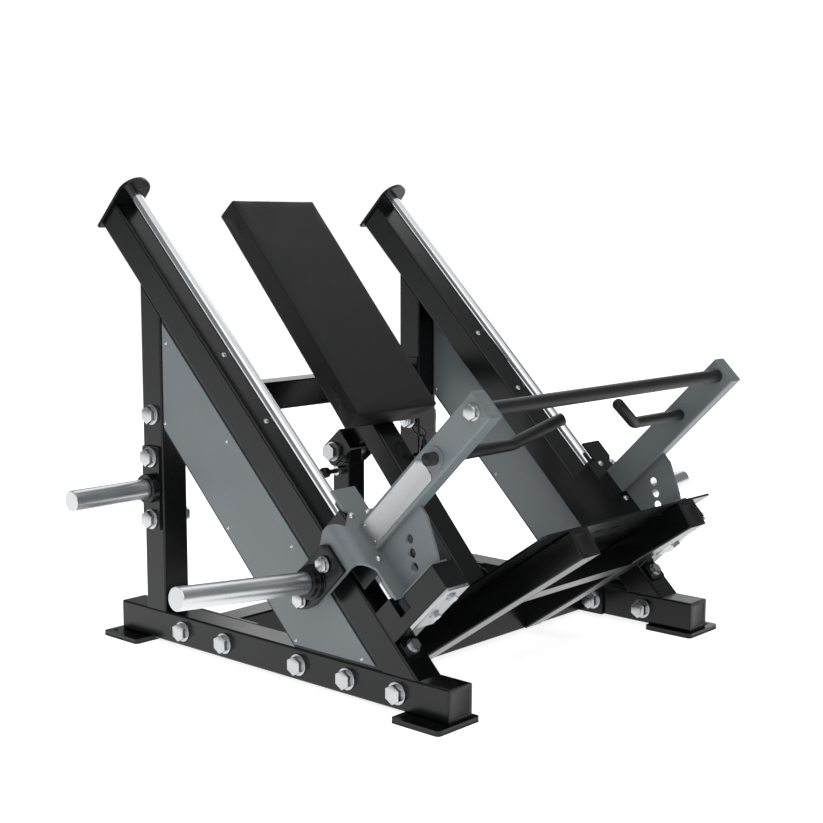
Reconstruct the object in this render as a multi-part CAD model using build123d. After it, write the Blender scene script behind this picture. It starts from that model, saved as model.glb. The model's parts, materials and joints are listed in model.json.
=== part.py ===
from build123d import *
import math
import os

os.makedirs("parts", exist_ok=True)

# ------------------------------------------------------------------ driving dimensions, mm
# Working frame: X across the machine, Y from front to rear, Z up, Z = 0 at the base beams' underside.
RAIL_ANGLE = 45.0
PAD_ANGLE = 48.9
TUBE = 75.0
WALL = 4.0
SPAN = 471.0
BASE_LEN = 1102.0
RAIL_FOOT_Y = -465.0
RAIL_LEN = 1423.0
COLUMN_Y = 413.5
SHAFT_D = 30.0
SHAFT_N = 38.0
FRAME_BOLT_D = 25.4
FRAME_BOLT_HOLE = 26.0
FRAME_BOLT_AF = 38.1
FRAME_WASHER_D = 50.0
FRAME_WASHER_T = 4.0
FOOT_T = 6.0
RUBBER_T = 6.0
PEG_D = 50.0
PEG_TILT = 5.2
BAR_D = 32.0
GRIP_D = 28.0
ARM_S0 = 280.0
ARM_S1 = 352.0
ARM_N1 = 530.0
ARM_W = 44.0
SADDLE_N = 86.0
PLATFORM_ANGLE = 34.5
PLATFORM_TUBE = 65.0
PLATFORM_X = 215.0
LIFT = FOOT_T + RUBBER_T
SHIFT_Y = 46.275

SIDE_IN = SPAN - TUBE / 2
SIDE_OUT = SPAN + TUBE / 2
C45 = math.cos(math.radians(RAIL_ANGLE))
S45 = math.sin(math.radians(RAIL_ANGLE))
RAIL = Plane(origin=(0, RAIL_FOOT_Y, TUBE), x_dir=(1, 0, 0), z_dir=(0, -S45, C45))
CP = math.cos(math.radians(PAD_ANGLE))
SP = math.sin(math.radians(PAD_ANGLE))
FRONT_CROSS_Y = -178.0
PIVOT = (0, FRONT_CROSS_Y, 147.0)
SPINE = Plane(origin=PIVOT, x_dir=(1, 0, 0), z_dir=(0, -SP, CP))
CT = math.cos(math.radians(PLATFORM_ANGLE))
ST = math.sin(math.radians(PLATFORM_ANGLE))
# Platform frame: local +Y runs down the slope to the rear, local Z is the standing surface's normal.
STEP = Plane(origin=(0, -662.0, 384.5), x_dir=(1, 0, 0), z_dir=(0, ST, CT))

parts = {}


def box(x0, x1, y0, y1, z0, z1):
    return Pos((x0 + x1) / 2, (y0 + y1) / 2, (z0 + z1) / 2) * Box(x1 - x0, y1 - y0, z1 - z0)


def rail_box(x0, x1, s0, s1, n0, n1):
    return RAIL.location * box(x0, x1, s0, s1, n0, n1)


def step_box(x0, x1, s0, s1, n0, n1):
    return STEP.location * box(x0, x1, s0, s1, n0, n1)


def rod(p0, p1, d):
    a = Vector(p0)
    b = Vector(p1)
    pl = Plane(origin=(a + b) / 2, z_dir=(b - a))
    return pl.location * Cylinder(d / 2, (b - a).length)


def rail_pt(x, s, n):
    v = RAIL.from_local_coords(Vector(x, s, n))
    return (v.X, v.Y, v.Z)


def group(shapes):
    return Compound([s for shape in shapes for s in shape.solids()])


def both(name, shape):
    """One node for each side of the machine."""
    parts[name + "_right"] = shape
    parts[name + "_left"] = mirror(shape, about=Plane.YZ)


def pair(name, shape):
    """One node holding the piece and its mirror image."""
    parts[name] = group(twin(shape))


def twin(shape):
    return [shape, mirror(shape, about=Plane.YZ)]


def facing(p, direction):
    return Plane(origin=p, z_dir=direction).location


def hex_bolt(p, direction, d, af, length, washer_d, nut_at=None, wt=2.5):
    """Hex bolt whose washer sits on the surface at p, head pointing along direction."""
    head_h = 0.62 * d
    nut_h = 0.8 * d
    hexagon = RegularPolygon(af / 2, 6, major_radius=False)
    b = Pos(0, 0, wt / 2) * Cylinder(washer_d / 2, wt)
    b += Pos(0, 0, wt) * extrude(hexagon, head_h)
    b += Pos(0, 0, -length / 2 + wt) * Cylinder(d / 2, length + wt)
    if nut_at is not None:
        b += Pos(0, 0, -nut_at - wt / 2) * Cylinder(washer_d / 2, wt)
        b += Pos(0, 0, -nut_at - wt - nut_h) * extrude(hexagon, nut_h)
    return facing(p, direction) * b


def frame_bolt(p, direction, length, nut_at=None):
    return hex_bolt(p, direction, FRAME_BOLT_D, FRAME_BOLT_AF, length, FRAME_WASHER_D, nut_at, FRAME_WASHER_T)


def across(x0, x1, y, z, d=FRAME_BOLT_HOLE):
    """A bolt hole across the machine."""
    return rod((x0, y, z), (x1, y, z), d)


def hole(p, direction, d, length):
    return facing(p, direction) * (Pos(0, 0, -length / 2 + 5) * Cylinder(d / 2, length + 10))


def dome_screw(p, direction, d, head_d, length, head_h):
    r = (head_d * head_d / 4 + head_h * head_h) / (2 * head_h)
    cap = Pos(0, 0, head_h - r) * Sphere(r)
    cap = cap & (Pos(0, 0, head_h / 2) * Box(head_d * 1.2, head_d * 1.2, head_h))
    if length > 0:
        cap += Pos(0, 0, -length / 2) * Cylinder(d / 2, length)
    return facing(p, direction) * cap


# ------------------------------------------------------------------ side frames
BIG = 4000.0
below_base_top = box(-BIG, BIG, -BIG, BIG, -BIG, TUBE)
above_rail_under = RAIL.location * box(-BIG, BIG, -BIG, BIG, -TUBE, BIG)
bolt_ys = [310.0, 155.0, -100.5, -255.5, -406.0]

base = box(SIDE_IN, SIDE_OUT, -BASE_LEN / 2 + 3, BASE_LEN / 2 - 3, 0, TUBE)
base = fillet(base.edges().filter_by(Axis.Y), 5)
base -= box(SIDE_IN + WALL, SIDE_OUT - WALL, -BASE_LEN, BASE_LEN, WALL, TUBE - WALL)
for y in bolt_ys:
    base -= across(SIDE_IN - 20, SIDE_OUT + 20, y, TUBE / 2)
pair("base_beams", base)

rail = rail_box(SIDE_IN, SIDE_OUT, -90, RAIL_LEN, -TUBE, 0)
rail = fillet(rail.edges().filter_by(lambda e: abs(e.tangent_at(0).X) < 0.01 and e.length > 1000), 5)
rail -= rail_box(SIDE_IN + WALL, SIDE_OUT - WALL, -200, RAIL_LEN + 50, WALL - TUBE, -WALL)
rail -= below_base_top
RAIL_SCREWS = [713.0, 918.0]
LUG_BOLT_S = 76.0
LUG_T = 8.0
LUG_HOLE = 16.6
for s in RAIL_SCREWS:
    rail -= hole(rail_pt(SPAN, s, 0), (0, -S45, C45), 8.4, 12)
rail -= hole(rail_pt(SPAN, LUG_BOLT_S, 0), (0, -S45, C45), LUG_HOLE, 22)
pair("rail_beams", rail)

PLATE_BOLTS_Z = [461.0, 306.0]
TOP_BOLT_Z = 566.0
column = box(SIDE_IN, SIDE_OUT, COLUMN_Y - TUBE / 2, COLUMN_Y + TUBE / 2, TUBE, 950)
column = fillet(column.edges().filter_by(Axis.Z), 5)
column -= box(SIDE_IN + WALL, SIDE_OUT - WALL, COLUMN_Y - TUBE / 2 + WALL, COLUMN_Y + TUBE / 2 - WALL, 0, 1200)
column -= above_rail_under
for z in PLATE_BOLTS_Z + [TOP_BOLT_Z]:
    column -= across(SIDE_IN - 20, SIDE_OUT + 20, COLUMN_Y, z)
pair("rear_columns", column)

# Each side is closed by one thin wall near the outer plane: a black core sheet between two grey faces.
CORE_X = SPAN + 30
CORE_T = 3.0
FACE_T = 2.5
# Screws along the panel edges, as positions along and below the rail
PANEL_SCREWS = [(129, -108), (438, -108), (746, -108), (1055, -108), (277, -253), (600, -253), (922, -253)]


def sheet(x0, x1, n0, n1, y_max, z_min):
    """A thin wall between two lines parallel to the rail, cut upright behind and level below."""
    wall = rail_box(x0, x1, -300, 1500, n0, n1)
    wall -= box(-BIG, BIG, y_max, BIG, -BIG, BIG)
    wall -= box(-BIG, BIG, -BIG, BIG, -BIG, z_min)
    for s, n in PANEL_SCREWS:
        wall -= hole(rail_pt(x1, s, n), (1, 0, 0), 4.4, x1 - x0)
    return wall


pair("core_sheets", sheet(CORE_X, CORE_X + CORE_T, -269, -TUBE, 373, TUBE))
outer_face = sheet(CORE_X + CORE_T, CORE_X + CORE_T + FACE_T, -263, -84, 370, 82)
inner_face = sheet(CORE_X - FACE_T, CORE_X, -263, -84, 370, 82)
pair("side_panels", group([outer_face, inner_face]))

screws = []
for s, n in PANEL_SCREWS:
    outer_x = CORE_X + CORE_T + FACE_T
    inner_x = CORE_X - FACE_T
    through = dome_screw(rail_pt(outer_x, s, n), (1, 0, 0), 4, 9, outer_x - inner_x, 2.5)
    through += dome_screw(rail_pt(inner_x, s, n), (-1, 0, 0), 4, 9, 0, 2.5)
    screws += twin(through)
parts["panel_screws"] = group(screws)

# ------------------------------------------------------------------ feet and end caps
feet = []
rubbers = []
for y0, y1 in [(-561.0, -425.0), (440.0, 576.0)]:
    plate = box(417, 553, y0, y1, -FOOT_T, 0)
    plate = fillet(plate.edges().filter_by(Axis.Z), 10)
    pad_r = box(417, 553, y0, y1, -FOOT_T - RUBBER_T, -FOOT_T)
    pad_r = fillet(pad_r.edges().filter_by(Axis.Z), 10)
    for dy in (-45, 45):
        c = Pos(531, (y0 + y1) / 2 + dy, -6) * Cylinder(6.5, 30)
        plate -= c
        pad_r -= c
    feet += twin(plate)
    rubbers += twin(pad_r)
parts["foot_plates"] = group(feet)
parts["foot_rubbers"] = group(rubbers)

caps = []
for sgn in (-1, 1):
    ye = sgn * (BASE_LEN / 2 - 3)
    cap = box(SIDE_IN, SIDE_OUT, min(ye, ye + 3 * sgn), max(ye, ye + 3 * sgn), 0, TUBE)
    cap = fillet(cap.edges().filter_by(Axis.Y), 5)
    w = WALL + 0.5
    cap += box(SIDE_IN + w, SIDE_OUT - w, min(ye, ye - 14 * sgn), max(ye, ye - 14 * sgn), w, TUBE - w)
    caps += twin(cap)
parts["base_end_caps"] = group(caps)

# ------------------------------------------------------------------ rail tops, shafts, bottom stops
end_plate = rail_box(SPAN - 45, SPAN + 45, RAIL_LEN, RAIL_LEN + 8, -84, SHAFT_N)
end_plate += RAIL.location * (Pos(SPAN, RAIL_LEN + 4, SHAFT_N) * (Rot(90, 0, 0) * Cylinder(45, 8)))
end_plate -= RAIL.location * (Pos(SPAN, RAIL_LEN + 4, SHAFT_N) * (Rot(90, 0, 0) * Cylinder(SHAFT_D / 2 + 0.1, 20)))
pair("rail_end_plates", end_plate)

STOP_S0 = 98.0
STOP_S1 = 157.6
shaft = rod(rail_pt(SPAN, STOP_S0 + 6, SHAFT_N), rail_pt(SPAN, RAIL_LEN + 6, SHAFT_N), SHAFT_D)
pair("guide_shafts", shaft)

STOP_HALF = 35.0
STOP_TOP = 206.0
STOP_FOOT_S = 176.0
STOP_FOOT_N = 54.5
NOTCH_S = 126.0
NOTCH_N = 95.0
stop = rail_box(SPAN - STOP_HALF, SPAN + STOP_HALF, STOP_S0, STOP_S1, 0, STOP_TOP)
stop = fillet(stop.edges().filter_by(lambda e: abs(e.tangent_at(0).X) < 0.01 and e.length > 150), 4)
stop += rail_box(SPAN - STOP_HALF, SPAN + STOP_HALF, STOP_S0 + 10, STOP_FOOT_S, 0, STOP_FOOT_N)
stop -= rail_box(SPAN - 50, SPAN + 50, NOTCH_S, STOP_FOOT_S + 20, STOP_FOOT_N, NOTCH_N)
stop -= rail_box(SPAN - 31, SPAN + 31, STOP_S0 + 4, STOP_S1 - 4, NOTCH_N + 4, STOP_TOP - 4)
shaft_hole = rod(rail_pt(SPAN, STOP_S0 + 5.9, SHAFT_N), rail_pt(SPAN, STOP_FOOT_S + 20, SHAFT_N), SHAFT_D + 0.1)
stop -= shaft_hole
STOP_BOLTS = [109.0, 175.0]
for n in STOP_BOLTS:
    stop -= hole(rail_pt(SPAN, STOP_S0 - 8, n), (0, -C45, -S45), 13, 24)
pair("stop_blocks", stop)
# rubber buffer in the notch, which the saddle's front edge comes down on
BUFFER = (SPAN + 12, (STOP_FOOT_N + NOTCH_N) / 2)
buffer = rod(rail_pt(BUFFER[0], NOTCH_S, BUFFER[1]), rail_pt(BUFFER[0], STOP_S1, BUFFER[1]), 34)
pair("stop_buffers", buffer)
stop_plate = rail_box(SPAN - STOP_HALF + 1, SPAN + STOP_HALF - 1, STOP_S0 - 8, STOP_S0, 62, STOP_TOP - 2)
for n in STOP_BOLTS:
    stop_plate -= hole(rail_pt(SPAN, STOP_S0 - 8, n), (0, -C45, -S45), 13, 24)
pair("stop_face_plates", stop_plate)
stop_bolts = []
for n in STOP_BOLTS:
    stop_bolts += twin(hex_bolt(rail_pt(SPAN, STOP_S0 - 8, n), (0, -C45, -S45), 12, 19, 20, 24))

lug = rail_box(SPAN - 27, SPAN + 27, 52, STOP_S0 - 1, 0, LUG_T)
lug = fillet(lug.edges().filter_by(lambda e: abs(e.length - LUG_T) < 0.01), 8)
lug -= hole(rail_pt(SPAN, LUG_BOLT_S, LUG_T), (0, -S45, C45), LUG_HOLE, 30)
pair("rail_foot_lugs", lug)
stop_bolts += twin(hex_bolt(rail_pt(SPAN, LUG_BOLT_S, LUG_T), (0, -S45, C45), 16, 24, 20, 34))
parts["stop_bolts"] = group(stop_bolts)
parts["rail_top_screws"] = group([m for s in RAIL_SCREWS for m in twin(
    dome_screw(rail_pt(SPAN, s, 0), (0, -S45, C45), 8, 14, 8, 5))])

# ------------------------------------------------------------------ cross members
FLANGE_T = 8.0


def crossbeam(y, z, flange_y, flange_z, holes):
    """A square tube across the machine, with a flat bolting flange welded to each end."""
    end = SIDE_IN - FLANGE_T
    beam = box(-end, end, y - TUBE / 2, y + TUBE / 2, z, z + TUBE)
    beam = fillet(beam.edges().filter_by(Axis.X), 5)
    beam -= box(-BIG, BIG, y - TUBE / 2 + WALL, y + TUBE / 2 - WALL, z + WALL, z + TUBE - WALL)
    flange = box(end, SIDE_IN, *flange_y, *flange_z)
    for hole_y, hole_z in holes:
        flange -= across(end - 20, SIDE_IN + 20, hole_y, hole_z)
    return group([beam] + twin(flange))


def floor_crossbeam(y, bolt_pair):
    holes = [(bolt_y, TUBE / 2) for bolt_y in bolt_pair]
    return crossbeam(y, 0, (min(bolt_pair) - 30, max(bolt_pair) + 30), (0, TUBE), holes)


UPPER_Z = 545.0
parts["floor_crossbeam_rear"] = floor_crossbeam(232.5, bolt_ys[0:2])
parts["floor_crossbeam_front"] = floor_crossbeam(FRONT_CROSS_Y, bolt_ys[2:4])
parts["upper_crossbeam"] = crossbeam(COLUMN_Y, UPPER_Z, (COLUMN_Y - TUBE / 2, COLUMN_Y + TUBE / 2),
                                     (520, 645), [(COLUMN_Y, TOP_BOLT_Z)])

# length of shank past the nut's seat
NUT_REACH = 30.0
frame_bolts = []
for y in bolt_ys:
    clamped = TUBE + (0 if y == bolt_ys[-1] else FLANGE_T)
    frame_bolts += twin(frame_bolt((SIDE_OUT, y, TUBE / 2), (1, 0, 0), clamped + NUT_REACH, clamped))
# this one screws into the upper crossbeam's flange and has no nut
frame_bolts += twin(frame_bolt((SIDE_OUT, COLUMN_Y, TOP_BOLT_Z), (1, 0, 0), TUBE + FLANGE_T + 6))

# ------------------------------------------------------------------ storage pegs on the rear columns
STORE_PLATE_T = 8.0
STORE_Z = 383.5
STORE_X0 = SIDE_OUT + STORE_PLATE_T
plate = box(SIDE_OUT, STORE_X0, COLUMN_Y - 32, COLUMN_Y + 32, 280, 488)
plate = fillet(plate.edges().filter_by(Axis.X), 6)
for z in PLATE_BOLTS_Z:
    plate -= across(SIDE_IN - 20, SIDE_OUT + 20, COLUMN_Y, z)
plate += rod((STORE_X0, COLUMN_Y, STORE_Z), (STORE_X0 + 18, COLUMN_Y, STORE_Z), 72)
pair("storage_brackets", plate)
STORE_X1 = 752.0
peg = rod((STORE_X0 + 18, COLUMN_Y, STORE_Z), (STORE_X1, COLUMN_Y, STORE_Z), PEG_D)
peg = chamfer(peg.edges().filter_by(GeomType.CIRCLE), 1.5)
pair("storage_pegs", peg)
for z in PLATE_BOLTS_Z:
    clamped = TUBE + STORE_PLATE_T
    frame_bolts += twin(frame_bolt((STORE_X0, COLUMN_Y, z), (1, 0, 0), clamped + NUT_REACH, clamped))
parts["frame_bolts"] = group(frame_bolts)

# ------------------------------------------------------------------ foot platform
from_cross_back = box(-BIG, BIG, FRONT_CROSS_Y - TUBE / 2, BIG, -BIG, BIG)
ptube = step_box(PLATFORM_X - 32.5, PLATFORM_X + 32.5, 3, 700, -PLATFORM_TUBE, 0)
ptube = fillet(ptube.edges().filter_by(lambda e: e.length > 500), 4)
ptube -= step_box(PLATFORM_X - 29, PLATFORM_X + 29, -50, 800, -PLATFORM_TUBE + 3.5, -3.5)
ptube -= from_cross_back
ptube -= box(-BIG, BIG, -BIG, BIG, -BIG, 0)
pair("platform_tubes", ptube)
pcap = step_box(PLATFORM_X - 32.5, PLATFORM_X + 32.5, 0, 3, -PLATFORM_TUBE, 0)
pcap += step_box(PLATFORM_X - 28.5, PLATFORM_X + 28.5, 3, 15, -PLATFORM_TUBE + 4, -4)
parts["platform_end_caps"] = group(twin(pcap))
XR = PLATFORM_X - 32.5
rib = step_box(-XR, XR, 195, 250, -PLATFORM_TUBE, -PLATFORM_TUBE + 50)
rib -= step_box(-BIG, BIG, 198, 247, -PLATFORM_TUBE + 3, -PLATFORM_TUBE + 47)
parts["platform_rib"] = rib
tread = step_box(-330, 330, 0, 496, 0, 5)
tread = fillet(tread.edges().filter_by(lambda e: abs(e.length - 5) < 0.01), 12)
slots = []
for i in range(9):
    for j in range(7):
        slots.append(Pos(-264 + 66 * i, 62 + 62 * j, 2.5) * Box(34, 9, 12))
tread -= STEP.location * group(slots)
STEP_BOLTS = [(PLATFORM_X, 30.0), (PLATFORM_X, 465.0)]
for x, s in STEP_BOLTS:
    for sgn in (-1, 1):
        p = STEP.from_local_coords(Vector(sgn * x, s, 5))
        tread -= hole((p.X, p.Y, p.Z), (0, ST, CT), 10.6, 14)
parts["foot_plate"] = tread
bolts = []
for x, s in STEP_BOLTS:
    p = STEP.from_local_coords(Vector(x, s, 5))
    bolts += twin(dome_screw((p.X, p.Y, p.Z), (0, ST, CT), 10, 18, 4.9, 4))
parts["foot_plate_screws"] = group(bolts)

# ------------------------------------------------------------------ carriage
BRG_S0 = 232.0
BRG_S1 = 402.0
brg = rail_box(SPAN - 36, SPAN + 36, BRG_S0, BRG_S1, 6, 78)
brg = fillet(brg.edges().filter_by(lambda e: e.length > 160), 6)
brg -= rod(rail_pt(SPAN, BRG_S0 - 20, SHAFT_N), rail_pt(SPAN, BRG_S1 + 20, SHAFT_N), SHAFT_D + 0.1)
pair("bearing_housings", brg)

CAR_BOLTS = [(SPAN - 26, 376.0), (SPAN + 26, 376.0), (SPAN + 26, 260.0), (SPAN - 26, 260.0)]
LEG_X = 548.0
LEG_T = 6.0
PLATE_T = 6.0


def saddle_side(top_n):
    """Bent plate: flat top over the rail, rounded shoulder, outer leg past the rail's side."""
    r = 30.0
    t = PLATE_T
    x_in = SPAN - 60
    with BuildSketch(Plane.XZ) as sk:
        with BuildLine():
            Polyline((x_in, top_n - t), (x_in, top_n), (LEG_X + LEG_T - r, top_n))
            RadiusArc((LEG_X + LEG_T - r, top_n), (LEG_X + LEG_T, top_n - r), r)
            Line((LEG_X + LEG_T, top_n - r), (LEG_X + LEG_T, LEG_TIP_N))
            Line((LEG_X + LEG_T, LEG_TIP_N), (LEG_X, LEG_TIP_N))
            Line((LEG_X, LEG_TIP_N), (LEG_X, top_n - r))
            RadiusArc((LEG_X, top_n - r), (LEG_X + LEG_T - r, top_n - t), -(r - t))
            Line((LEG_X + LEG_T - r, top_n - t), (x_in, top_n - t))
        make_face()
    body = extrude(sk.sketch, amount=-1000)
    return body


FLAT_X = 520.0
LEG_TIP_N = -135.0
raw = saddle_side(SADDLE_N)
raw = raw & box(-BIG, BIG, 158, 448, -BIG, BIG)
# tab above the shoulder line
raw -= box(507, 700, 386, 500, -BIG, BIG)
raw -= Pos(530, 386, 0) * (Rot(0, 0, 45) * Box(46, 46, 600))
raw -= box(380, 434, 384, 500, -BIG, BIG)
# in front of the leg the flat top is narrower, with a rounded step out to the leg
mouth = make_face(Polyline((FLAT_X, 100), (FLAT_X, 236), (548, 268), (700, 268), (700, 100), (FLAT_X, 100)))
mouth = fillet(mouth.vertices(), 10)
raw -= Pos(0, 0, -300) * extrude(mouth, 600)
# the leg tapers down to its two bracket bolts
leg = make_face(Polyline((268, 90), (386, 90), (386, 56), (360, 13), (350, -110), (326, LEG_TIP_N),
                         (298, LEG_TIP_N), (280, -112), (268, -100), (268, 90)))
leg = Plane(origin=(FLAT_X, 0, 0), x_dir=(0, 1, 0), z_dir=(1, 0, 0)).location * extrude(leg, 60)
raw = raw & (leg + box(-BIG, FLAT_X, -BIG, BIG, -BIG, BIG) + box(FLAT_X, 700, 100, 500, SADDLE_N - 30, 200))
for x, s in CAR_BOLTS:
    raw -= Pos(x, s, SADDLE_N) * Cylinder(5.3, 40)
PEG_C = (312.0, -54.0)
BRK_BOLTS = [(PEG_C[0] + 6, PEG_C[1] + 58), (PEG_C[0] - 6, PEG_C[1] - 58)]
CAR_BOLT_D = 20.0
CAR_BOLT_HOLE = 20.6
CAR_BOLT_AF = 30.0
CAR_WASHER_D = 37.0
for s, n in BRK_BOLTS:
    raw -= across(LEG_X - 30, LEG_X + 30, s, n, CAR_BOLT_HOLE)
both("carriage_saddle", RAIL.location * raw)

inner = box(SPAN - 77, SPAN - 61, 225, 382, SADDLE_N - 6, SADDLE_N)
inner += box(SPAN - 77, SPAN - 73, 205, 382, -8, SADDLE_N)
inner += box(SPAN - 77, SPAN - 61, 205, 225, SADDLE_N - 6, SADDLE_N)
inner += box(SPAN - 73, SPAN - 37, 240, 262, 20, 60)
inner += box(SPAN - 73, SPAN - 37, 350, 372, 20, 60)
pair("inner_guards", RAIL.location * inner)

bolts = []
for x, s in CAR_BOLTS:
    bolts += twin(dome_screw(rail_pt(x, s, SADDLE_N), (0, -S45, C45), 10, 16, PLATE_T, 6))
parts["carriage_dome_bolts"] = group(bolts)

AX0 = SPAN - ARM_W / 2
AX1 = SPAN + ARM_W / 2
GRIP_S = 315.0
GRIP_N = 361.0
BAR_S = 318.0
BAR_N = 507.0
arm = rail_box(AX0, AX1, ARM_S0, ARM_S1, SADDLE_N, ARM_N1 - 3)
arm = fillet(arm.edges().filter_by(lambda e: e.length > 400), 5)
arm -= rail_box(AX0 + 3.5, AX1 - 3.5, ARM_S0 + 3.5, ARM_S1 - 3.5, SADDLE_N - 1, ARM_N1)
arm -= rod(rail_pt(AX0 - 20, GRIP_S, GRIP_N), rail_pt(AX1 + 20, GRIP_S, GRIP_N), 38)
arm -= rod(rail_pt(AX0 - 20, BAR_S, BAR_N), rail_pt(AX1 + 20, BAR_S, BAR_N), CAR_BOLT_HOLE)
pair("arms", arm)
acap = rail_box(AX0, AX1, ARM_S0, ARM_S1, ARM_N1 - 3, ARM_N1)
acap = fillet(acap.edges().filter_by(lambda e: abs(e.length - 3) < 0.01), 5)
ww = 4.0
acap += rail_box(AX0 + ww, AX1 - ww, ARM_S0 + ww, ARM_S1 - ww, ARM_N1 - 11, ARM_N1 - 3)
parts["arm_end_caps"] = group(twin(acap))

hub = rod(rail_pt(AX0 - 3, GRIP_S, GRIP_N), rail_pt(AX1 + 3, GRIP_S, GRIP_N), 37.8)
hub += rod(rail_pt(AX1, GRIP_S, GRIP_N), rail_pt(AX1 + 3, GRIP_S, GRIP_N), 50)
hub += rod(rail_pt(AX0, GRIP_S, GRIP_N), rail_pt(AX0 - 3, GRIP_S, GRIP_N), 50)
hub -= rod(rail_pt(AX0 - 20, GRIP_S, GRIP_N), rail_pt(AX1 + 20, GRIP_S, GRIP_N), GRIP_D + 0.1)
pair("grip_bushings", hub)

bar = rod(rail_pt(-AX0, BAR_S, BAR_N), rail_pt(AX0, BAR_S, BAR_N), BAR_D)
for sgn in (-1, 1):
    bar -= rod(rail_pt(sgn * (AX0 + 1), BAR_S, BAR_N), rail_pt(sgn * (AX0 - 32), BAR_S, BAR_N), CAR_BOLT_D + 0.1)
parts["cross_bar"] = bar
carriage_bolts = twin(hex_bolt(rail_pt(AX1, BAR_S, BAR_N), (1, 0, 0), CAR_BOLT_D, CAR_BOLT_AF,
                               ARM_W + 26, CAR_WASHER_D))

gus = Polyline((280, 86), (280, 243), (252, 242), (176, 208), (164, 200), (158, 190), (158, 86), (280, 86))
gusset = extrude(make_face(gus), 6)
gusset = Plane(origin=(SPAN - 3, 0, 0), x_dir=(0, 1, 0), z_dir=(1, 0, 0)).location * gusset
for s, n in [(194, 136), (220, 152), (246, 168)]:
    gusset -= across(SPAN - 20, SPAN + 20, s, n, 22)
flange = box(SPAN - 28, SPAN + 28, 158, 163, SADDLE_N, 203)
gusset += chamfer(flange.edges().filter_by(Axis.Y).group_by(Axis.Z)[-1], 8)
pair("arm_gussets", RAIL.location * gusset)

# blank name plate on each arm's outer face, with clipped corners at its top
np_n0 = 94.0
np_n1 = 330.0
label_plate = box(AX1, AX1 + 1.5, ARM_S0 + 8, ARM_S1 - 8, np_n0, np_n1)
label_plate = chamfer(label_plate.edges().filter_by(Axis.X).group_by(Axis.Z)[-1], 9)
label_plate = RAIL.location * label_plate
NP_RIVETS = [(s, n) for s in (ARM_S0 + 14, ARM_S1 - 14) for n in (np_n0 + 7, (np_n0 + np_n1) / 2, np_n1 - 14)]
pair("name_plates", label_plate)
bolts = []
for s, n in NP_RIVETS:
    bolts += twin(dome_screw(rail_pt(AX1 + 1.5, s, n), (1, 0, 0), 2, 5, 0, 1.4))
parts["name_plate_rivets"] = group(bolts)

# ------------------------------------------------------------------ carriage weight pegs, rising outward
bx = LEG_X + LEG_T
BRK_T = 10.0
outline = make_face(Polyline((355, 25), (342, 40), (271, 40), (271, -88), (280, -114), (296, -137),
                             (328, -137), (350, -112), (355, -88), (355, 25)))
outline = fillet(outline.vertices(), 5)
brk = Plane(origin=(bx, 0, 0), x_dir=(0, 1, 0), z_dir=(1, 0, 0)).location * extrude(outline, BRK_T)
for s, n in BRK_BOLTS:
    brk -= across(bx - 20, bx + 20, s, n, CAR_BOLT_HOLE)
brk = RAIL.location * brk
PEG_TIP_X = 940.5
ROOT = rail_pt(bx + BRK_T, PEG_C[0], PEG_C[1])
TIP_Z = ROOT[2] + (PEG_TIP_X - bx - BRK_T) * math.tan(math.radians(PEG_TILT))
TIP = (PEG_TIP_X, ROOT[1], TIP_Z)
u = (Vector(*TIP) - Vector(*ROOT)).normalized()
inside = Vector(*ROOT) - u * 6
step = Vector(*ROOT) + u * 12
outside = Vector(*ROOT) + u * 24
boss = rod(inside, step, 76) + rod(inside, outside, 66)
boss -= box(bx - 30, bx, -BIG, BIG, -BIG, BIG)
pair("peg_brackets", brk + boss)
peg = rod(outside, TIP, PEG_D)
peg = chamfer(peg.edges().filter_by(GeomType.CIRCLE), 1.5)
pair("weight_pegs", peg)
for s, n in BRK_BOLTS:
    carriage_bolts += twin(hex_bolt(rail_pt(bx + BRK_T, s, n), (1, 0, 0), CAR_BOLT_D, CAR_BOLT_AF,
                                    BRK_T + LEG_T, CAR_WASHER_D))
parts["carriage_bolts"] = group(carriage_bolts)

# ------------------------------------------------------------------ swivel grips
BEND_X = 239.0
END_X = 118.0
REACH = 69.0


def grip(angle_deg):
    a = math.radians(angle_deg)
    g = rail_pt(0, GRIP_S, GRIP_N)
    p0 = Vector(AX1 + 26, g[1], g[2])
    p1 = Vector(BEND_X, g[1], g[2])
    p2 = Vector(END_X, g[1] + REACH * math.cos(a), g[2] + REACH * math.sin(a))
    path = FilletPolyline(p0, p1, p2, radius=42)
    prof = Plane(origin=p0, z_dir=(-1, 0, 0)) * Circle(GRIP_D / 2)
    return sweep(prof, path=path)


parts["grip_right"] = grip(121.0)
parts["grip_left"] = mirror(grip(134.0), about=Plane.YZ)

# ------------------------------------------------------------------ back pad on its pivoting spine
SPINE_W = 75.0
SPINE_H = 60.0
SPINE_END = 1080.0
spine = box(-SPINE_W / 2, SPINE_W / 2, -38, SPINE_END, -SPINE_H / 2, SPINE_H / 2)
spine = fillet(spine.edges().filter_by(Axis.Y), 5)
spine -= box(-SPINE_W / 2 + WALL, SPINE_W / 2 - WALL, -100, 1200, -SPINE_H / 2 + WALL, SPINE_H / 2 - WALL)
spine -= Rot(0, 90, 0) * Cylinder(8.05, 200)
parts["pad_spine"] = SPINE.location * spine
# end plug at the spine's top
plug = box(-SPINE_W / 2, SPINE_W / 2, SPINE_END, SPINE_END + 3, -SPINE_H / 2, SPINE_H / 2)
plug += box(-33, 33, SPINE_END - 12, SPINE_END, -25.5, 25.5)
parts["spine_end_cap"] = SPINE.location * plug

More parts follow.
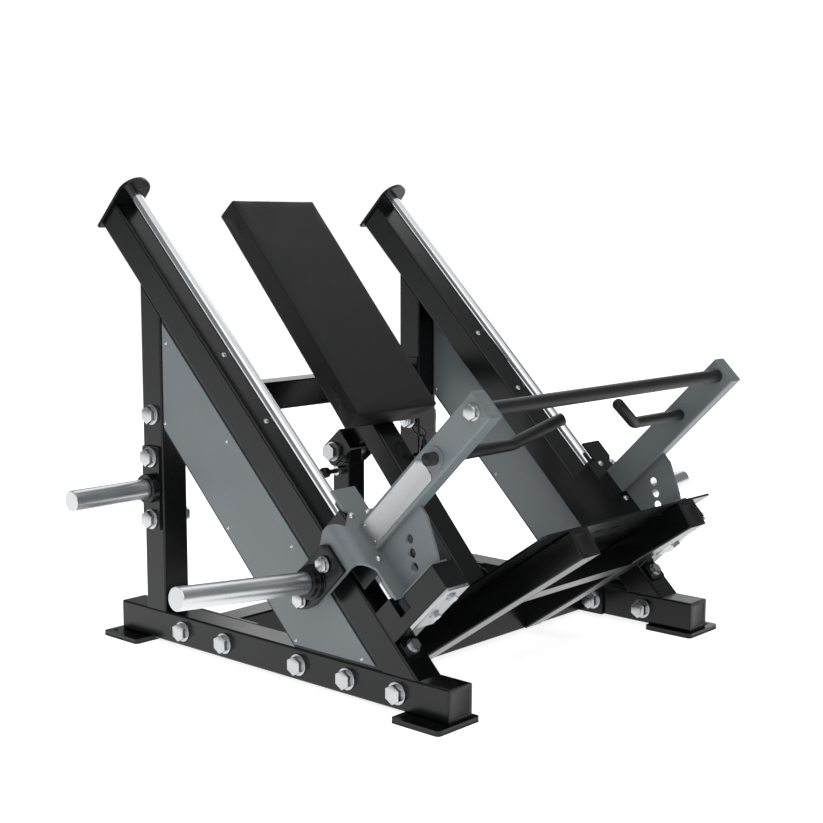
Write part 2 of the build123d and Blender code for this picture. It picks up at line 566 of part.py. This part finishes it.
PAD_S0 = 462.0
PAD_S1 = 1175.0
PAD_W = 302.0
PAD_TOP = 102.0
BOARD_T = 15.0
BOARD_INSET = 12.0
spine_top = SPINE_H / 2
board = box(BOARD_INSET - PAD_W / 2, PAD_W / 2 - BOARD_INSET, PAD_S0 + BOARD_INSET, PAD_S1 - BOARD_INSET,
            spine_top, spine_top + BOARD_T)
board = fillet(board.edges().filter_by(Axis.Z), 15)
parts["pad_board"] = SPINE.location * board
# the cushion wraps the board's edges and leaves its underside just clear
pad = box(-PAD_W / 2, PAD_W / 2, PAD_S0, PAD_S1, spine_top + 2, PAD_TOP)
pad = fillet(pad.edges().filter_by(Axis.Z), 6)
pad = fillet(pad.edges().group_by(Axis.Z)[-1], 5)
parts["back_pad"] = SPINE.location * (pad - board)

# ears on the front floor crossbeam carry the spine's pivot bolt
EAR_T = 8.0
ear_in = SPINE_W / 2 + 0.5
ear_out = ear_in + EAR_T
PIVOT_Y = PIVOT[1]
PIVOT_Z = PIVOT[2]
ear = box(ear_in, ear_out, PIVOT_Y - 35, PIVOT_Y + 35, TUBE, PIVOT_Z)
ear += across(ear_in, ear_out, PIVOT_Y, PIVOT_Z, 70)
ear -= across(ear_in - 5, ear_out + 5, PIVOT_Y, PIVOT_Z, 17)
ears = twin(ear)


def pivot_bolt(x, y, z):
    return hex_bolt((-x, y, z), (-1, 0, 0), 16, 24, 2 * x + 22, 32, nut_at=2 * x)


pivot_bolts = [pivot_bolt(ear_out, PIVOT_Y, PIVOT_Z)]

# ------------------------------------------------------------------ telescoping prop under the spine
POST_Y = 236.0
POST_Z0 = 115.0
POST_Z1 = 441.0
outer = box(-30, 30, POST_Y - 30, POST_Y + 30, 92, 410)
outer = fillet(outer.edges().filter_by(Axis.Z), 4)
outer -= box(-26, 26, POST_Y - 26, POST_Y + 26, 140, 500)
outer -= box(-26, 26, POST_Y - 26, POST_Y + 26, 0, 138)
outer -= across(-60, 60, POST_Y, POST_Z0, 16.1)
KNOB_Z = 388.0
outer -= across(-60, 0, POST_Y, KNOB_Z, 12.4)
parts["prop_outer_tube"] = outer
boss = across(-48, -30, POST_Y, KNOB_Z, 24)
boss -= across(-60, -20, POST_Y, KNOB_Z, 12.1)
parts["knob_boss"] = boss
inner_tube = box(-25, 25, POST_Y - 25, POST_Y + 25, 170, POST_Z1 + 22)
inner_tube = fillet(inner_tube.edges().filter_by(Axis.Z), 4)
inner_tube -= box(-22, 22, POST_Y - 22, POST_Y + 22, 100, 600)
inner_tube -= across(-60, 60, POST_Y, POST_Z1, FRAME_BOLT_D + 0.1)
parts["prop_inner_tube"] = inner_tube
knob = across(-78, -25.3, POST_Y, KNOB_Z, 12)
knob += fillet(across(-102, -76, POST_Y, KNOB_Z, 28).edges(), 8)
parts["clamp_knob"] = knob
prop_ear_in = 30.5
prop_ear_out = prop_ear_in + EAR_T
prop_ear = box(prop_ear_in, prop_ear_out, POST_Y - 35, POST_Y + 35, TUBE, POST_Z0)
prop_ear += across(prop_ear_in, prop_ear_out, POST_Y, POST_Z0, 60)
prop_ear = prop_ear & box(-BIG, BIG, 195.2, BIG, TUBE, BIG)
prop_ear -= across(prop_ear_in - 5, prop_ear_out + 5, POST_Y, POST_Z0, 17)
parts["pivot_ears"] = group(ears + twin(prop_ear))
pivot_bolts.append(pivot_bolt(prop_ear_out, POST_Y, POST_Z0))
parts["pivot_bolts"] = group(pivot_bolts)

# A hanging clevis behind the spine takes the prop's top bolt: a channel on a neck of square tube.
# Its bolt holes have 0.6 mm of radial clearance, because the linkage is opened there.
CLEVIS_IN = 50.0
CLEVIS_OUT = 58.0
CLEVIS_WEB_N = -62.0
top_pivot = SPINE.to_local_coords(Vector(0, POST_Y, POST_Z1))
clevis_s0 = top_pivot.Y - 31
clevis_s1 = top_pivot.Y + 31
clevis = box(-CLEVIS_OUT, CLEVIS_OUT, clevis_s0, clevis_s1, top_pivot.Z - 31, CLEVIS_WEB_N)
clevis -= box(-CLEVIS_IN, CLEVIS_IN, -BIG, BIG, -BIG, CLEVIS_WEB_N - 8)
clevis = fillet(clevis.edges().filter_by(Axis.X).group_by(Axis.Z)[0], 14)
clevis += box(-30, 30, clevis_s0 + 6, clevis_s1 - 6, CLEVIS_WEB_N, -SPINE_H / 2)
clevis -= across(-BIG, BIG, top_pivot.Y, top_pivot.Z, FRAME_BOLT_D + 1.2)
parts["prop_clevis"] = SPINE.location * clevis
bolt_seat = CLEVIS_OUT + 0.5
top_bolt = frame_bolt((-bolt_seat, POST_Y, POST_Z1), (-1, 0, 0), 2 * bolt_seat + NUT_REACH, 2 * bolt_seat)
spacer = across(25.2, CLEVIS_IN - 0.5, POST_Y, POST_Z1, 40)
for piece in twin(spacer):
    top_bolt += piece
parts["prop_top_bolt"] = top_bolt

# ring pull pin on a tab at the spine's side
RP = (56.0, 20.0, 446.0)
tab = box(SPINE_W / 2, 76, RP[1] - 20, RP[1] + 20, RP[2] - 8, RP[2])
tab -= Pos(*RP) * Cylinder(5.06, 40)
parts["ring_pin_tab"] = tab
pin = Pos(RP[0], RP[1], RP[2] - 14) * Cylinder(5, 28, align=(Align.CENTER, Align.CENTER, Align.MIN))
pin += Pos(RP[0], RP[1], RP[2] + 0.5) * Cone(12, 6, 34, align=(Align.CENTER, Align.CENTER, Align.MIN))
pin += Pos(RP[0], RP[1], RP[2] + 34) * Cylinder(4, 14, align=(Align.CENTER, Align.CENTER, Align.MIN))
RING_R = 19.0
ring = Pos(RP[0], RP[1], RP[2] + 46) * (Rot(35, 0, 0) * (Pos(0, RING_R, 0) * Torus(RING_R, 3)))
parts["ring_pull_pin"] = pin + ring

# ------------------------------------------------------------------ export
place = Pos(0, SHIFT_Y, LIFT)
for name, shape in parts.items():
    export_step(place * shape, f"parts/{name}.step")
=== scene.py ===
import json
import math

import bpy
import numpy as np
from mathutils import Matrix, Vector


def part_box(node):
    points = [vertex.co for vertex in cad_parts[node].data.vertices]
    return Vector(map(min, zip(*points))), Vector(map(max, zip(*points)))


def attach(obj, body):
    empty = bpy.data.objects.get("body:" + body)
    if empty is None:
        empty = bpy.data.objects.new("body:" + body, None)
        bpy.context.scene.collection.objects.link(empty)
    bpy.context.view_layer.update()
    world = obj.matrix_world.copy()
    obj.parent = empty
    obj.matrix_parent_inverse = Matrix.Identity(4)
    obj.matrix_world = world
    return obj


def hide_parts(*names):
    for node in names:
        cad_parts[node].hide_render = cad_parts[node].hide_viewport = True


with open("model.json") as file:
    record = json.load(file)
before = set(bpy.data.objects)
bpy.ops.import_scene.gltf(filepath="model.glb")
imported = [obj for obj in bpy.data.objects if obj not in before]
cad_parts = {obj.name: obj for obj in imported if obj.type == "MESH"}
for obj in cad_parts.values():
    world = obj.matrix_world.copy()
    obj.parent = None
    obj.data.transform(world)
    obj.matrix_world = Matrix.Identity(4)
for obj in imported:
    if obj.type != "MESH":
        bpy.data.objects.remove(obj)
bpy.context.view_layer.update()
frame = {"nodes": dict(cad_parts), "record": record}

MM = 0.001
NODES = frame["nodes"]

# ------------------------------------------------------------------ driving sizes, in metres
RAIL = math.radians(45.0)
PAD_SLOPE = math.radians(48.9)
PLATFORM_SLOPE = math.radians(34.5)
OFF_RAIL = Vector((0, -math.sin(RAIL), math.cos(RAIL)))
CROSS_BAR_R = 16 * MM
GRIP_R = 12 * MM
# corners of a CAD node nearer than this are one corner
SAME_CORNER = 0.002 * MM


# ------------------------------------------------------------------ nodes and materials
def linear(code):
    """An sRGB hex colour as linear RGBA."""
    parts = [int(code[i:i + 2], 16) / 255 for i in (1, 3, 5)]
    return [c / 12.92 if c <= 0.04045 else ((c + 0.055) / 1.055) ** 2.4 for c in parts] + [1.0]


def add_node(tree, kind, inputs=None, **settings):
    """One node with its settings, and its inputs as values or as links from other sockets."""
    node = tree.nodes.new(kind)
    for key, value in settings.items():
        setattr(node, key, value)
    for key, value in (inputs or {}).items():
        if isinstance(value, bpy.types.NodeSocket):
            tree.links.new(value, node.inputs[key])
        else:
            node.inputs[key].default_value = value
    return node


def new_material(name, metallic, **sockets):
    """A material, its node tree and its shader, with constants set on the shader's own sockets."""
    mat = bpy.data.materials.new(name)
    mat.use_nodes = True
    shader = mat.node_tree.nodes["Principled BSDF"]
    shader.inputs["Metallic"].default_value = metallic
    for key, value in sockets.items():
        shader.inputs[key.replace("_", " ")].default_value = value
    return mat, mat.node_tree, shader


def surface(name, shades, rough, grain, depth, stretch=(1, 1, 1), turn=(0, 0, 0), metallic=0.0,
            drift=160 * MM, ior=1.5):
    """A material whose shade and roughness drift slowly, with a fine relief of the given grain and depth.

    stretch says how many times longer the relief is along each axis, after turn has set the axes.
    """
    mat, tree, shader = new_material(name, metallic, IOR=ior)
    place = add_node(tree, "ShaderNodeTexCoord").outputs["Object"]
    laid = add_node(tree, "ShaderNodeMapping", {"Vector": place, "Rotation": turn, "Scale": stretch},
                    vector_type="TEXTURE").outputs[0]
    fine = add_node(tree, "ShaderNodeTexNoise",
                    {"Vector": laid, "Scale": 1 / grain, "Detail": 3.0}).outputs["Fac"]
    broad = add_node(tree, "ShaderNodeTexNoise",
                     {"Vector": place, "Scale": 1 / drift, "Detail": 2.0}).outputs["Fac"]
    both = add_node(tree, "ShaderNodeMath", {0: fine, 1: broad}, operation="ADD").outputs[0]
    # the sum of two noises seldom leaves this range
    usual = {"Value": both, "From Min": 0.7, "From Max": 1.3}
    evened = add_node(tree, "ShaderNodeMapRange", usual).outputs[0]
    shade = add_node(tree, "ShaderNodeMix", {"Factor": evened}, data_type="RGBA")
    shade.inputs["A"].default_value = linear(shades[0])
    shade.inputs["B"].default_value = linear(shades[1])
    dull = add_node(tree, "ShaderNodeMapRange", {**usual, "To Min": rough[0], "To Max": rough[1]})
    relief = add_node(tree, "ShaderNodeBump", {"Height": fine, "Distance": depth, "Strength": 1.0})
    tree.links.new(shade.outputs["Result"], shader.inputs["Base Color"])
    tree.links.new(dull.outputs[0], shader.inputs["Roughness"])
    tree.links.new(relief.outputs[0], shader.inputs["Normal"])
    return mat


def vinyl():
    """Upholstery vinyl, embossed with a pebbled leather grain: sheen on the pebbles, matt in the pits."""
    mat = surface("upholstery_vinyl", shades=("#101011", "#151516"), rough=(0.55, 0.65),
                  grain=90 * MM, depth=0.01 * MM, ior=1.36)
    tree = mat.node_tree
    place = add_node(tree, "ShaderNodeTexCoord").outputs["Object"]
    # real pebbles are 1 mm across, and these are larger so that the grain shows
    pebble = 3 * MM
    pebbles = add_node(tree, "ShaderNodeTexVoronoi", {"Vector": place, "Scale": 1 / pebble},
                       feature="DISTANCE_TO_EDGE").outputs["Distance"]
    relief = add_node(tree, "ShaderNodeBump", {"Height": pebbles, "Distance": 0.2 * MM, "Strength": 0.6})
    tree.links.new(relief.outputs[0], tree.nodes["Principled BSDF"].inputs["Normal"])
    return mat


def knurl():
    """Knurled and blacked steel: two sets of crossed cuts leave small diamonds that scatter the light, and
    the cuts are painted darker than the diamond tops as painted shade.
    """
    mat, tree, shader = new_material("knurled_black_steel", 0.0, Roughness=0.5, IOR=1.4)
    place = add_node(tree, "ShaderNodeTexCoord").outputs["UV"]
    # real knurling has a pitch of 1.5 mm, and this is coarser so that the diamonds show
    pitch = 4 * MM
    # a wave texture of scale 1 repeats after this length
    wave_length = 0.314
    lean = 0.6
    cuts = []
    for turn in (lean, -lean):
        laid = add_node(tree, "ShaderNodeMapping", {"Vector": place, "Rotation": (0, 0, turn)})
        cut = add_node(tree, "ShaderNodeTexWave", {"Vector": laid.outputs[0], "Scale": wave_length / pitch},
                       wave_profile="SAW")
        cuts.append(cut.outputs["Fac"])
    both = add_node(tree, "ShaderNodeMath", {0: cuts[0], 1: cuts[1]}, operation="MULTIPLY").outputs[0]
    # painted shade: the colour goes from near black in the cuts to dark grey on the diamond tops, following
    # the relief
    shade = add_node(tree, "ShaderNodeMix", {"Factor": both}, data_type="RGBA")
    shade.inputs["A"].default_value = linear("#070708")
    shade.inputs["B"].default_value = linear("#202122")
    relief = add_node(tree, "ShaderNodeBump", {"Height": both, "Distance": 0.3 * MM, "Strength": 1.0})
    tree.links.new(shade.outputs["Result"], shader.inputs["Base Color"])
    tree.links.new(relief.outputs[0], shader.inputs["Normal"])
    return mat


FINISH = {
    # sprayed dry and baked: deep black with a faint orange peel that softens its bright reflections
    # (real orange peel is under 1 mm, and this is larger so that it shows)
    "black_paint": surface("black_powder_coat", shades=("#050607", "#090a0b"), rough=(0.2, 0.27),
                           grain=5 * MM, depth=0.01 * MM, ior=1.38),
    # the same process in mid grey: a flatter sheen, with slightly uneven coverage
    "grey_paint": surface("grey_powder_coat", shades=("#636a6d", "#6a7174"), rough=(0.38, 0.48),
                          grain=4 * MM, depth=0.03 * MM),
    # hard chrome, ground before plating: mirror bright, with hairlines along the shaft
    "chrome": surface("hard_chrome", shades=("#c8cacc", "#d4d6d7"), rough=(0.12, 0.18),
                      grain=1.5 * MM, depth=0.001 * MM, stretch=(1, 60, 1), turn=(RAIL, 0, 0), metallic=1.0),
    # turned on a lathe and oiled: fine rings round the peg spread each highlight along it
    "turned_steel": surface("turned_steel", shades=("#c2c5c6", "#cfd1d2"), rough=(0.28, 0.36),
                            grain=1.2 * MM, depth=0.002 * MM, stretch=(1, 60, 60), metallic=1.0),
    # barrel plated with zinc: a clean bright grey, a little cloudy
    "zinc": surface("zinc_plated_steel", shades=("#b4b6b8", "#c0c2c4"), rough=(0.26, 0.34),
                    grain=5 * MM, depth=0.001 * MM, metallic=1.0, drift=30 * MM),
    # sheet drawn through an abrasive belt: fine lines one way stretch each reflection across them
    "brushed_plate": surface("brushed_aluminium", shades=("#a3a6a7", "#b2b4b5"), rough=(0.32, 0.42),
                             grain=1.2 * MM, depth=0.002 * MM, stretch=(1, 60, 1), turn=(RAIL, 0, 0),
                             metallic=1.0),
    "knurled_steel": knurl(),
    # pressed in a hot mould: flat black, nearly no sheen
    "rubber": surface("nitrile_rubber", shades=("#111111", "#181818"), rough=(0.7, 0.85),
                      grain=2 * MM, depth=0.1 * MM),
    # injection moulded with a spark-eroded texture: dark, with a soft even sheen
    "black_plastic": surface("moulded_nylon", shades=("#0a0a0b", "#0f0f10"), rough=(0.36, 0.46),
                             grain=2 * MM, depth=0.02 * MM, ior=1.38),
    "vinyl": vinyl(),
    # rotary-cut veneers glued under heat and stained dark: faint long grain, dull
    "plywood": surface("birch_plywood_stained_black", shades=("#17140f", "#221d17"), rough=(0.6, 0.75),
                       grain=5 * MM, depth=0.1 * MM, stretch=(1, 12, 12)),
}


def give(obj, slot):
    obj.data.materials.clear()
    obj.data.materials.append(FINISH[slot])


for part in frame["record"]["subparts"]:
    give(NODES[part["node"]], part["material_slot"])


# ------------------------------------------------------------------ stage, light and camera
def stage():
    """A pale floor that glows faintly, an even surround and three large soft lamps."""
    bpy.ops.object.select_all(action="DESELECT")
    bpy.ops.mesh.primitive_plane_add(size=60)
    floor = bpy.context.object
    floor.name = "floor"
    mat, tree, shader = new_material("pale_floor", 0.0)
    shader.inputs["Base Color"].default_value = linear("#fbfbfb")
    shader.inputs["Roughness"].default_value = 0.9
    shader.inputs["Emission Color"].default_value = linear("#ffffff")
    shader.inputs["Emission Strength"].default_value = 0.85
    floor.data.materials.append(mat)

    world = bpy.data.worlds.new("studio")
    bpy.context.scene.world = world
    world.use_nodes = True
    tree = world.node_tree
    back = tree.nodes["Background"]
    seen = add_node(tree, "ShaderNodeLightPath").outputs["Is Camera Ray"]
    shade = add_node(tree, "ShaderNodeMix", {"Factor": seen}, data_type="RGBA")
    shade.inputs["A"].default_value = linear("#8e8f90")
    shade.inputs["B"].default_value = linear("#ffffff")
    tree.links.new(shade.outputs["Result"], back.inputs["Color"])

    aimed_at = Vector((0, 0, 0.5))
    # name, place and width in metres, power in watts
    lamps = [
        ("key", (-3.2, -2.6, 3.6), 5.0, 112),
        ("top", (0.2, 0.4, 4.4), 6.0, 88),
        ("rim", (3.4, 2.4, 2.8), 3.6, 50),
    ]
    for name, spot, size, power in lamps:
        lamp = bpy.data.objects.new(name, bpy.data.lights.new(name, "AREA"))
        lamp.data.size = size
        lamp.data.energy = power
        lamp.location = spot
        lamp.rotation_euler = (aimed_at - lamp.location).to_track_quat("-Z", "Y").to_euler()
        bpy.context.scene.collection.objects.link(lamp)
    bpy.context.scene.view_settings.view_transform = "Standard"


def camera():
    """A camera low and to the left of the machine's front."""
    azimuth = math.radians(-47.91)
    elevation = math.radians(7.29)
    back = Vector((math.sin(azimuth) * math.cos(elevation),
                   -math.cos(azimuth) * math.cos(elevation), math.sin(elevation)))
    eye = bpy.data.objects.new("camera", bpy.data.cameras.new("camera"))
    eye.data.sensor_width = 36
    eye.data.lens = 64.27
    eye.location = (-2.7406, -2.4167, 1.0441)
    eye.rotation_euler = (-back).to_track_quat("-Z", "Y").to_euler()
    bpy.context.scene.collection.objects.link(eye)
    bpy.context.scene.camera = eye


# ------------------------------------------------------------------ modelling helpers
def only(obj):
    """Makes obj the only selected object, and the active one."""
    bpy.ops.object.select_all(action="DESELECT")
    obj.select_set(True)
    bpy.context.view_layer.objects.active = obj


def link_mesh(name, mesh, matrix=None):
    """A new object at the origin, whose mesh is moved by matrix if there is one."""
    obj = bpy.data.objects.new(name, mesh)
    bpy.context.scene.collection.objects.link(obj)
    if matrix is not None:
        obj.data.transform(matrix)
    return obj


def merge(name, pieces):
    """Joins pieces into one object at the origin."""
    bpy.ops.object.select_all(action="DESELECT")
    for piece in pieces:
        piece.select_set(True)
    bpy.context.view_layer.objects.active = pieces[0]
    if len(pieces) > 1:
        bpy.ops.object.join()
    pieces[0].name = name
    return pieces[0]


def take_mesh(obj):
    """The mesh of a pattern piece, whose own object isn't needed."""
    mesh = obj.data
    bpy.data.objects.remove(obj)
    return mesh


def dress(obj, slot, body, node):
    """Finish, body and the CAD node that a new piece stands for."""
    give(obj, slot)
    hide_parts(node)
    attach(obj, body)


def solids(node):
    """The corner points of each separate solid in a CAD node, read from a merged copy of it."""
    copy = link_mesh("copy", NODES[node].data.copy())
    only(copy)
    bpy.ops.object.mode_set(mode="EDIT")
    bpy.ops.mesh.select_all(action="SELECT")
    bpy.ops.mesh.remove_doubles(threshold=SAME_CORNER)
    bpy.ops.mesh.separate(type="LOOSE")
    bpy.ops.object.mode_set(mode="OBJECT")
    found = [np.array([v.co for v in o.data.vertices]) for o in bpy.context.selected_objects]
    bpy.ops.object.delete()
    return found


def seat(points, direction):
    """A frame whose +Z is direction and whose origin is on the solid's own axis, with its reach both ways."""
    turn = Vector(direction).to_track_quat("Z", "Y").to_matrix()
    local = points @ np.array(turn)
    low, high = local.min(0), local.max(0)
    middle = turn @ Vector(((low[0] + high[0]) / 2, (low[1] + high[1]) / 2, 0))
    return Matrix.Translation(middle) @ turn.to_4x4(), low[2], high[2]


def apply_bevel(obj, width, segments=2, angle=35):
    """Rounds every edge that turns by more than angle degrees, and smooths the shading elsewhere."""
    only(obj)
    mod = obj.modifiers.new("bevel", "BEVEL")
    mod.width = width
    mod.segments = segments
    mod.limit_method = "ANGLE"
    mod.angle_limit = math.radians(angle)
    bpy.ops.object.modifier_apply(modifier=mod.name)
    bpy.ops.object.shade_smooth_by_angle(angle=math.radians(angle))


# ------------------------------------------------------------------ fasteners
# washer diameter: bolt size, width across flats, washer thickness, all in mm
BOLT_SIZES = {
    50: (25.4, 38.1, 4.0),
    37: (20, 30, 2.5),
    34: (16, 24, 2.5),
    32: (16, 24, 2.5),
    24: (12, 19, 2.5),
}
NUT_HEIGHT = 0.8
# one mesh for each washer diameter and head height, which every like bolt copies
PATTERNS = {}


def hex_head(washer_d, height):
    """A washer and a hexagon head with chamfered corners, standing on z = 0."""
    flats, washer_t = BOLT_SIZES[washer_d][1:]
    corner = flats * MM / math.sqrt(3)
    thick = washer_t * MM
    bpy.ops.object.select_all(action="DESELECT")
    bpy.ops.mesh.primitive_cylinder_add(vertices=48, radius=washer_d / 2 * MM, depth=thick,
                                        location=(0, 0, thick / 2))
    washer = bpy.context.object
    bpy.ops.object.transform_apply()
    apply_bevel(washer, 0.7 * MM)
    bpy.ops.object.select_all(action="DESELECT")
    bpy.ops.mesh.primitive_cylinder_add(vertices=6, radius=corner, depth=height,
                                        location=(0, 0, thick + height / 2))
    head = bpy.context.object
    bpy.ops.object.transform_apply()
    only(head)
    for face in head.data.polygons:
        face.select = face.normal.z > 0.9
    bpy.ops.object.mode_set(mode="EDIT")
    bpy.ops.mesh.select_mode(type="FACE")
    chamfer = 0.09 * flats * MM
    bpy.ops.mesh.inset(thickness=chamfer)
    bpy.ops.object.mode_set(mode="OBJECT")
    # the six corners of the top drop and leave a sloping rim
    for vertex in head.data.vertices:
        at_top = vertex.co.z > thick + height * 0.9
        if at_top and vertex.co.xy.length > corner - chamfer:
            vertex.co.z = thick + height - chamfer * 0.55
    apply_bevel(head, 0.5 * MM)
    return take_mesh(merge("hex_head", [washer, head]))


def pattern(washer_d, height):
    """A copy of the head mesh for this washer and height, which is made once."""
    key = (washer_d, round(height / MM, 1))
    if key not in PATTERNS:
        PATTERNS[key] = hex_head(washer_d, key[1] * MM)
    return PATTERNS[key].copy()


def bolts(name, node, body, aim):
    """Every bolt of a CAD node, rebuilt with a chamfered head and a shank, and a nut where there is one."""
    made = []
    for points in solids(node):
        frame_at, low, high = seat(points, aim(points.mean(0)))
        turn = frame_at.to_3x3()
        local = points @ np.array(turn) - np.array(turn.transposed() @ frame_at.translation)
        reach = np.hypot(local[:, 0], local[:, 1])
        washer_d = min(BOLT_SIZES, key=lambda d: abs(d - 2 * reach.max() / MM))
        size, _, washer_t = BOLT_SIZES[washer_d]
        # only the washers reach this far from the bolt's axis
        washers = local[reach > 0.485 * washer_d * MM, 2]
        middle = (low + high) / 2
        under = washers[washers > middle].min()
        head = pattern(washer_d, high - under - washer_t * MM)
        made.append(link_mesh("head", head, frame_at @ Matrix.Translation((0, 0, under))))
        bpy.ops.object.select_all(action="DESELECT")
        bpy.ops.mesh.primitive_cylinder_add(vertices=32, radius=size / 2 * MM, depth=under - low,
                                            location=(0, 0, (under + low) / 2))
        shank = bpy.context.object
        bpy.ops.object.transform_apply()
        apply_bevel(shank, 1.2 * MM)
        shank.data.transform(frame_at)
        made.append(shank)
        nuts = washers[washers < middle]
        if len(nuts):
            flip = Matrix.Translation((0, 0, nuts.max())) @ Matrix.Rotation(math.pi, 4, "X")
            made.append(link_mesh("nut", pattern(washer_d, NUT_HEIGHT * size * MM), frame_at @ flip))
    dress(merge(name, made), "zinc", body, node)


# directions in which the outer ends of solids look, from the solid's centre
def outward(centre):
    return (math.copysign(1, centre[0]), 0, 0)


def from_left(centre):
    return (-1, 0, 0)


bolts("frame_bolt_set", "frame_bolts", "frame", outward)
bolts("carriage_bolt_set", "carriage_bolts", "carriage", outward)
bolts("pivot_bolt_set", "pivot_bolts", "frame", from_left)


# ------------------------------------------------------------------ plates, caps and bars
def shell(node):
    """A working copy of a CAD node, with its facets joined into whole faces."""
    obj = link_mesh("work", NODES[node].data.copy())
    only(obj)
    bpy.ops.object.mode_set(mode="EDIT")
    bpy.ops.mesh.select_all(action="SELECT")
    bpy.ops.mesh.remove_doubles(threshold=SAME_CORNER)
    bpy.ops.mesh.dissolve_limited(angle_limit=math.radians(0.5))
    bpy.ops.object.mode_set(mode="OBJECT")
    return obj


def softened(name, node, slot, body, width):
    """A CAD node with rolled edges."""
    obj = shell(node)
    apply_bevel(obj, width)
    obj.name = name
    dress(obj, slot, body, node)


def recessed(name, node, slot, body, aim, margin, depth, width):
    """A CAD node with rolled edges and, in the end of each solid that faces aim, a shallow sunk field."""
    cutters = []
    for points in solids(node):
        frame_at, low, high = seat(points, aim(points.mean(0)))
        local = points @ np.array(frame_at.to_3x3())
        wide, tall = local.max(0)[:2] - local.min(0)[:2] - 2 * margin
        bpy.ops.object.select_all(action="DESELECT")
        bpy.ops.mesh.primitive_cube_add(size=1)
        bpy.ops.transform.resize(value=(wide, tall, 2 * depth))
        bpy.ops.object.transform_apply()
        cutter = bpy.context.object
        cutter.data.transform(frame_at @ Matrix.Translation((0, 0, high)))
        cutters.append(cutter)
    cutter = merge("cutter", cutters)
    obj = shell(node)
    sink = obj.modifiers.new("sink", "BOOLEAN")
    sink.operation = "DIFFERENCE"
    sink.object = cutter
    bpy.ops.object.modifier_apply(modifier=sink.name)
    bpy.data.objects.remove(cutter)
    apply_bevel(obj, width)
    obj.name = name
    dress(obj, slot, body, node)


def wrapped(name, node, body, radius):
    """A round bar whose own UV runs round and along it in metres, so that its knurling lies true."""
    obj = link_mesh(name, NODES[node].data.copy())
    only(obj)
    bpy.ops.object.mode_set(mode="EDIT")
    bpy.ops.mesh.select_all(action="SELECT")
    bpy.ops.mesh.remove_doubles(threshold=SAME_CORNER)
    bpy.ops.mesh.normals_make_consistent(inside=False)
    bpy.ops.object.mode_set(mode="OBJECT")
    bpy.ops.object.shade_smooth_by_angle(angle=math.radians(35))
    mesh = obj.data
    layer = mesh.uv_layers.new(name="knurl")
    for face in mesh.polygons:
        base = math.atan2(face.normal.z, face.normal.y)
        for corner in face.loop_indices:
            vertex = mesh.vertices[mesh.loops[corner].vertex_index]
            angle = math.atan2(vertex.normal.z, vertex.normal.y)
            turned = base + (angle - base + math.pi) % (2 * math.pi) - math.pi
            layer.data[corner].uv = (turned * radius, vertex.co.x)
    dress(obj, "knurled_steel", body, node)


def beam_end(centre):
    return (0, math.copysign(1, centre[1]), 0)


def arm_top(centre):
    return OFF_RAIL


def platform_front(centre):
    return (0, -math.cos(PLATFORM_SLOPE), math.sin(PLATFORM_SLOPE))


recessed("base_cap_set", "base_end_caps", "black_plastic", "frame", beam_end,
         margin=11 * MM, depth=1.0 * MM, width=0.8 * MM)
recessed("arm_cap_set", "arm_end_caps", "grey_paint", "carriage", arm_top,
         margin=8 * MM, depth=0.8 * MM, width=0.8 * MM)
recessed("platform_cap_set", "platform_end_caps", "black_plastic", "frame", platform_front,
         margin=11 * MM, depth=1.0 * MM, width=0.8 * MM)
recessed("name_plate_set", "name_plates", "brushed_plate", "carriage", outward,
         margin=7 * MM, depth=0.4 * MM, width=0.15 * MM)
softened("stop_plate_set", "stop_face_plates", "brushed_plate", "frame", width=0.6 * MM)
softened("peg_bracket_set", "peg_brackets", "black_paint", "carriage", width=1.0 * MM)
wrapped("cross_bar_knurled", "cross_bar", "carriage", CROSS_BAR_R)
wrapped("left_grip_knurled", "grip_left", "left_grip", GRIP_R)
wrapped("right_grip_knurled", "grip_right", "right_grip", GRIP_R)


# ------------------------------------------------------------------ upholstery
def inflate(piece, cap):
    """Blows the closed skin up with cloth, and limits how far any point moves."""
    only(piece)
    rest = np.array([v.co for v in piece.data.vertices])
    cloth = piece.modifiers.new("cloth", "CLOTH")
    cloth.settings.use_pressure = True
    cloth.settings.uniform_pressure_force = 4
    cloth.settings.effector_weights.gravity = 0
    scene = bpy.context.scene
    for step in range(1, 21):
        scene.frame_set(step)
    bpy.ops.object.modifier_apply(modifier=cloth.name)
    scene.frame_set(1)
    now = np.array([v.co for v in piece.data.vertices])
    move = now - rest
    far = np.linalg.norm(move, axis=1, keepdims=True)
    move *= np.minimum(1, cap / np.maximum(far, 1e-9))
    piece.data.vertices.foreach_set("co", (rest + move).ravel())
    piece.data.update()


def pad():
    """The back pad: foam under stretched vinyl, slightly crowned."""
    low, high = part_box("back_pad")
    # the box of a sloping block gives back the block's own length and thickness
    cos, sin = math.cos(PAD_SLOPE), math.sin(PAD_SLOPE)
    dy, dz = high.y - low.y, high.z - low.z
    length = (dy * cos - dz * sin) / (cos * cos - sin * sin)
    thick = (dy - length * cos) / sin
    width = high.x - low.x
    swell = 3 * MM
    bpy.ops.object.select_all(action="DESELECT")
    bpy.ops.mesh.primitive_cube_add(size=1)
    piece = bpy.context.object
    bpy.ops.transform.resize(value=(width - swell, length - swell, thick - swell))
    bpy.ops.object.transform_apply()
    apply_bevel(piece, 3 * MM, 2)
    only(piece)
    remesh = piece.modifiers.new("remesh", "REMESH")
    remesh.mode = "VOXEL"
    remesh.voxel_size = 4.5 * MM
    bpy.ops.object.modifier_apply(modifier=remesh.name)
    inflate(piece, cap=1.5 * MM)
    sub = piece.modifiers.new("smooth", "SUBSURF")
    sub.levels = sub.render_levels = 1
    bpy.ops.object.modifier_apply(modifier=sub.name)
    bpy.ops.object.shade_smooth()
    piece.data.transform(Matrix.Translation((low + high) / 2) @ Matrix.Rotation(PAD_SLOPE, 4, "X"))
    piece.name = "back_pad_cover"
    dress(piece, "vinyl", "backrest", "back_pad")


pad()
stage()
camera()
